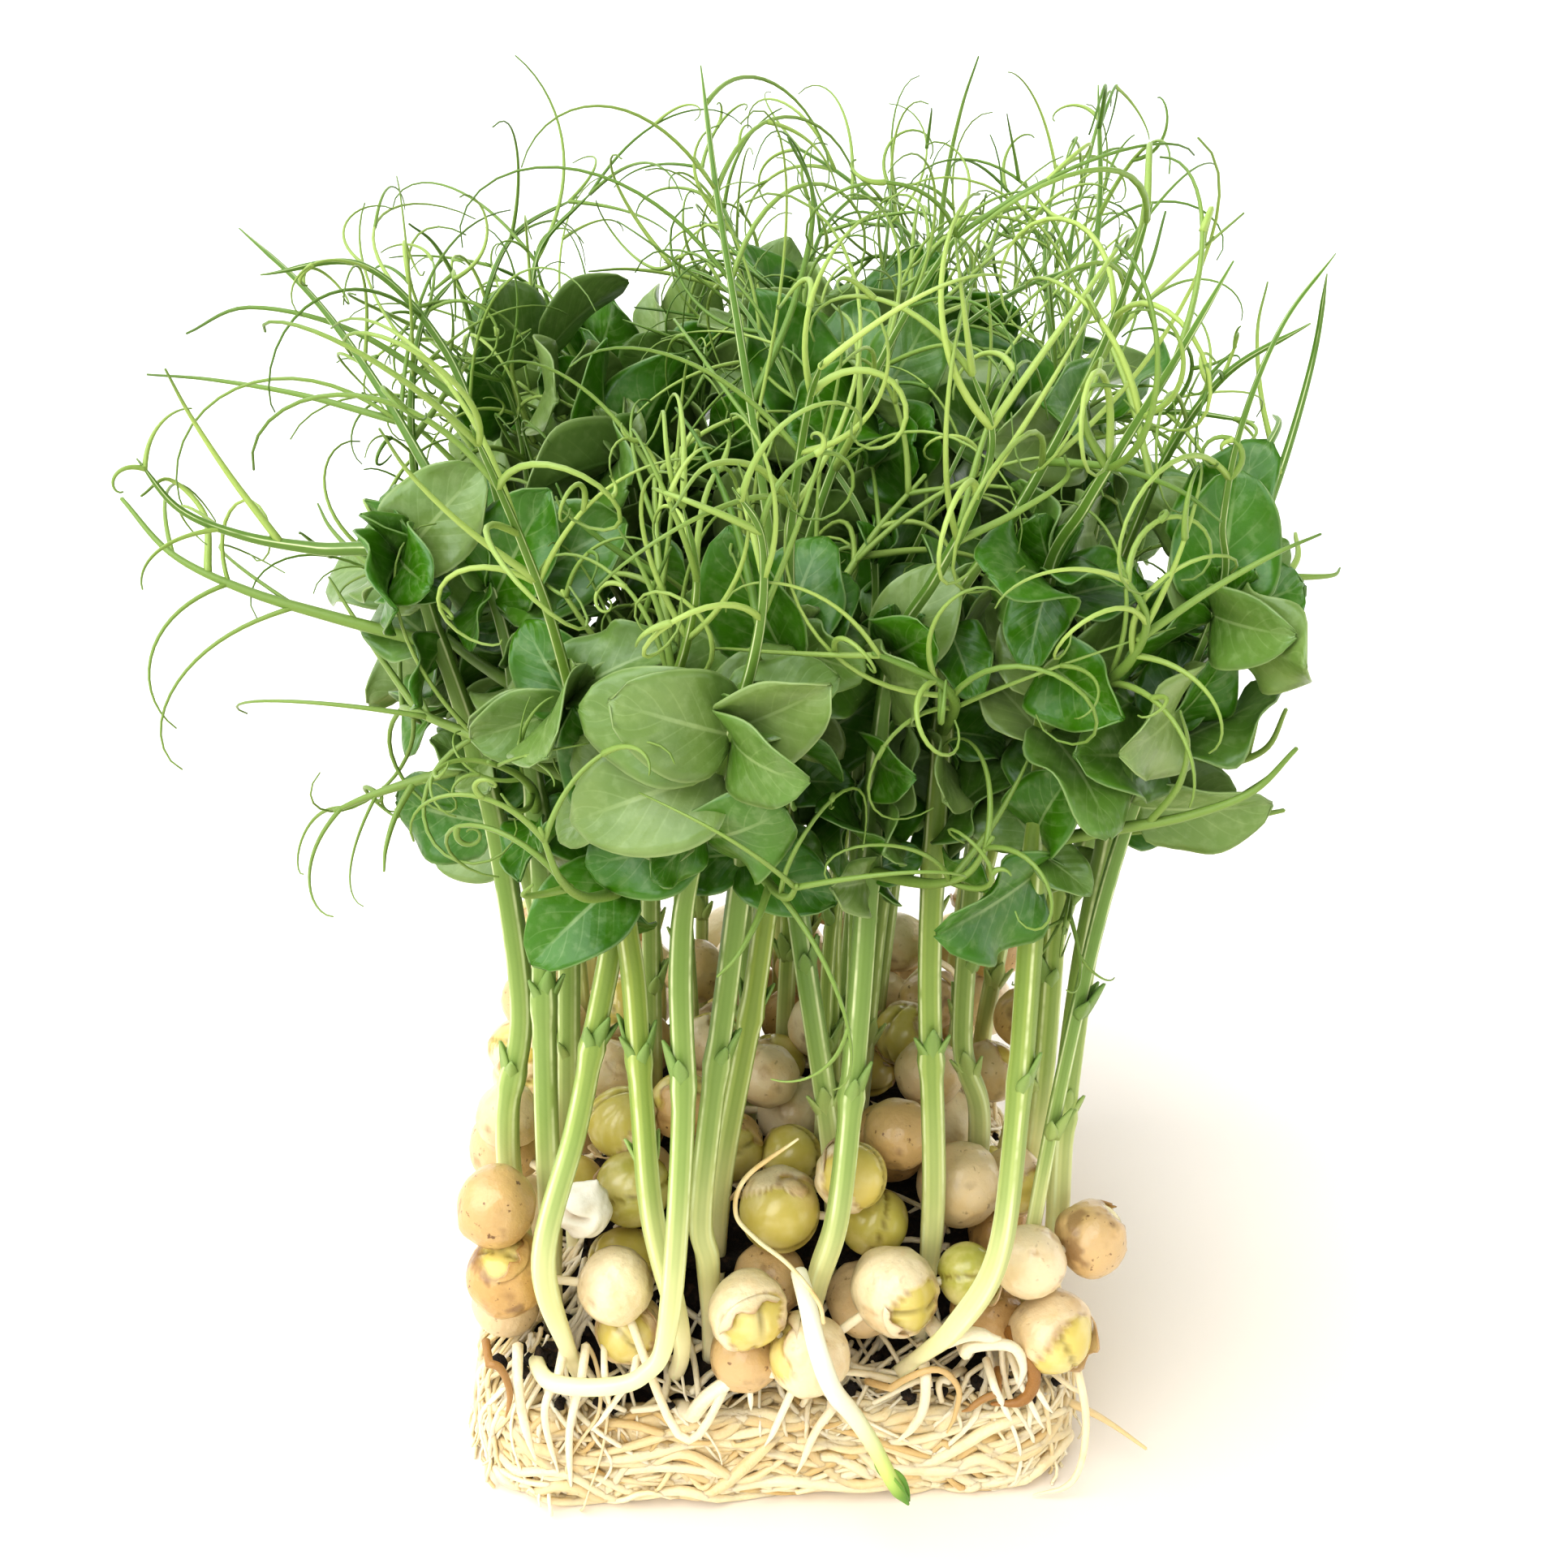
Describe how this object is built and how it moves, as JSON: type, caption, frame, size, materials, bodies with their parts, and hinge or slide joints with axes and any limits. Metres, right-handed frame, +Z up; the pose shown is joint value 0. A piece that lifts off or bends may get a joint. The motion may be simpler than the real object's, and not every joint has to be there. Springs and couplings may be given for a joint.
{
  "type": "pea shoot microgreens block",
  "caption": "Block of living pea shoots lifted out of its tray: a root mat round dark growing medium, swollen peas on it, and leafy stems that end in curling tendrils",
  "frame": {"origin": "middle of the root mat's flat underside", "axes": "+Z is up, -Y is the front of the block and +X is its right as seen from the front"},
  "size_m": [0.123, 0.1075, 0.1534],
  "materials": {
    "root_mat": "matte matted roots",
    "growing_medium": "damp crumbly growing medium",
    "pea": "satin swollen pea with a thin coat",
    "shoot": "satin living stem, leaf and tendril",
    "hanging_sprout": "satin pale sprout",
    "dry_thread": "dry tendril",
    "empty_seed_coat": "thin pale seed coat"
  },
  "bodies": {
    "root": {"dry_thread": "dry_thread", "empty_seed_coat": "empty_seed_coat", "growing_medium": "growing_medium", "hanging_sprout": "hanging_sprout", "peas_01": "pea", "peas_02": "pea", "peas_03": "pea", "peas_04": "pea", "peas_05": "pea", "peas_06": "pea", "peas_07": "pea", "root_mat": "root_mat", "shoot_01": "shoot", "shoot_02": "shoot", "shoot_03": "shoot", "shoot_04": "shoot", "shoot_05": "shoot", "shoot_06": "shoot", "shoot_07": "shoot", "shoot_08": "shoot", "shoot_09": "shoot", "shoot_10": "shoot", "shoot_11": "shoot", "shoot_12": "shoot", "shoot_13": "shoot", "shoot_14": "shoot", "shoot_15": "shoot", "shoot_16": "shoot", "shoot_17": "shoot", "shoot_18": "shoot", "shoot_19": "shoot", "shoot_20": "shoot", "shoot_21": "shoot", "shoot_22": "shoot", "shoot_23": "shoot", "shoot_24": "shoot", "shoot_25": "shoot", "shoot_26": "shoot", "shoot_27": "shoot", "shoot_28": "shoot", "shoot_29": "shoot", "shoot_30": "shoot", "shoot_31": "shoot", "shoot_32": "shoot", "shoot_33": "shoot", "shoot_34": "shoot", "shoot_35": "shoot", "shoot_36": "shoot"}
  },
  "joints": []
}
